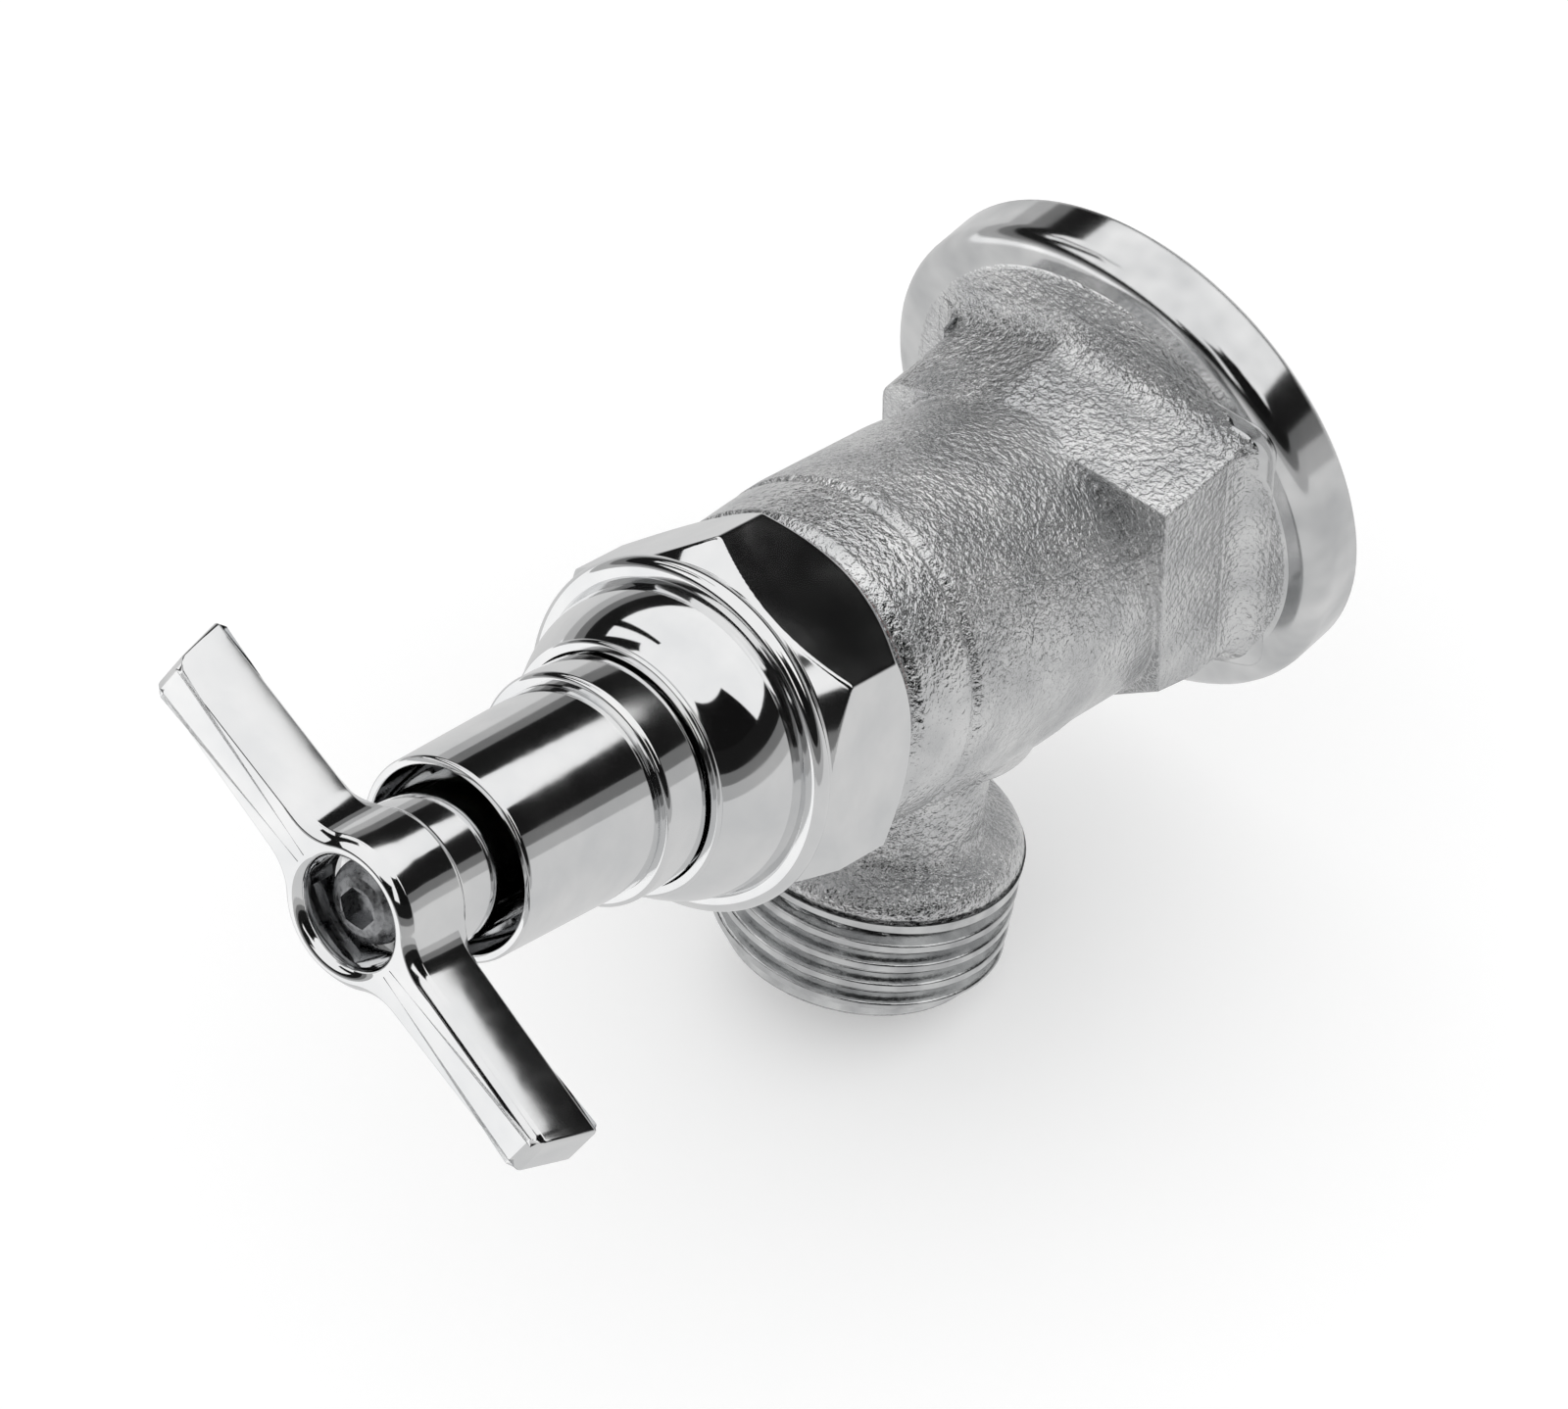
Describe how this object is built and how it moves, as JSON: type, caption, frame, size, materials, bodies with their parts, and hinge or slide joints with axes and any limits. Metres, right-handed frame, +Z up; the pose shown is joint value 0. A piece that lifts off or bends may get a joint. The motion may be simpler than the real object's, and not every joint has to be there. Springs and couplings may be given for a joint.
{
  "type": "sill faucet",
  "caption": "Flanged wall faucet with a threaded hose outlet, a rising compression stem behind a hexagonal cap nut and a short tee handle.",
  "frame": {"origin": "centre of the inlet bore at the back face of the wall flange", "axes": "+Y along the inlet axis into the wall, +Z up, the handle towards -Y and up, the hose outlet towards -Z"},
  "size_m": [0.049, 0.1062, 0.0743],
  "materials": {
    "cast_chrome": "rough plated casting",
    "polished_chrome": "polished",
    "brass": "turned",
    "steel": "satin",
    "fibre": "matte",
    "washer_rubber": "matte",
    "packing": "matte"
  },
  "bodies": {
    "valve": {"body": "cast_chrome", "seat": "brass", "seat_ring": "fibre", "cap_nut": "polished_chrome", "cap_gasket": "fibre", "packing_washer": "brass", "packing_inner": "packing", "packing_outer": "packing", "gland_ring": "brass", "gland_nut": "polished_chrome", "stem_seal": "washer_rubber", "barrel": "polished_chrome", "snap_ring": "steel"},
    "washer_carrier": {"washer_cup": "brass", "valve_washer": "washer_rubber", "washer_screw": "brass"},
    "handle": {"stem": "brass", "tee_handle": "polished_chrome", "handle_screw": "steel", "lock_washer": "steel"}
  },
  "joints": [
    {"name": "stem_lift", "type": "slide", "parent": "valve", "child": "washer_carrier", "axis": [0, -0.9537, 0.3007], "range_m": [0, 0.0056]},
    {"name": "handle_turn", "type": "hinge", "parent": "washer_carrier", "child": "handle", "pos_m": [0, 0, -0.00709], "axis": [0, -0.9537, 0.3007], "range_deg": [0, 630]}
  ],
  "couplings": [
    {"joint": "stem_lift", "follows": "handle_turn", "m_per_rad": 0.0005053}
  ]
}
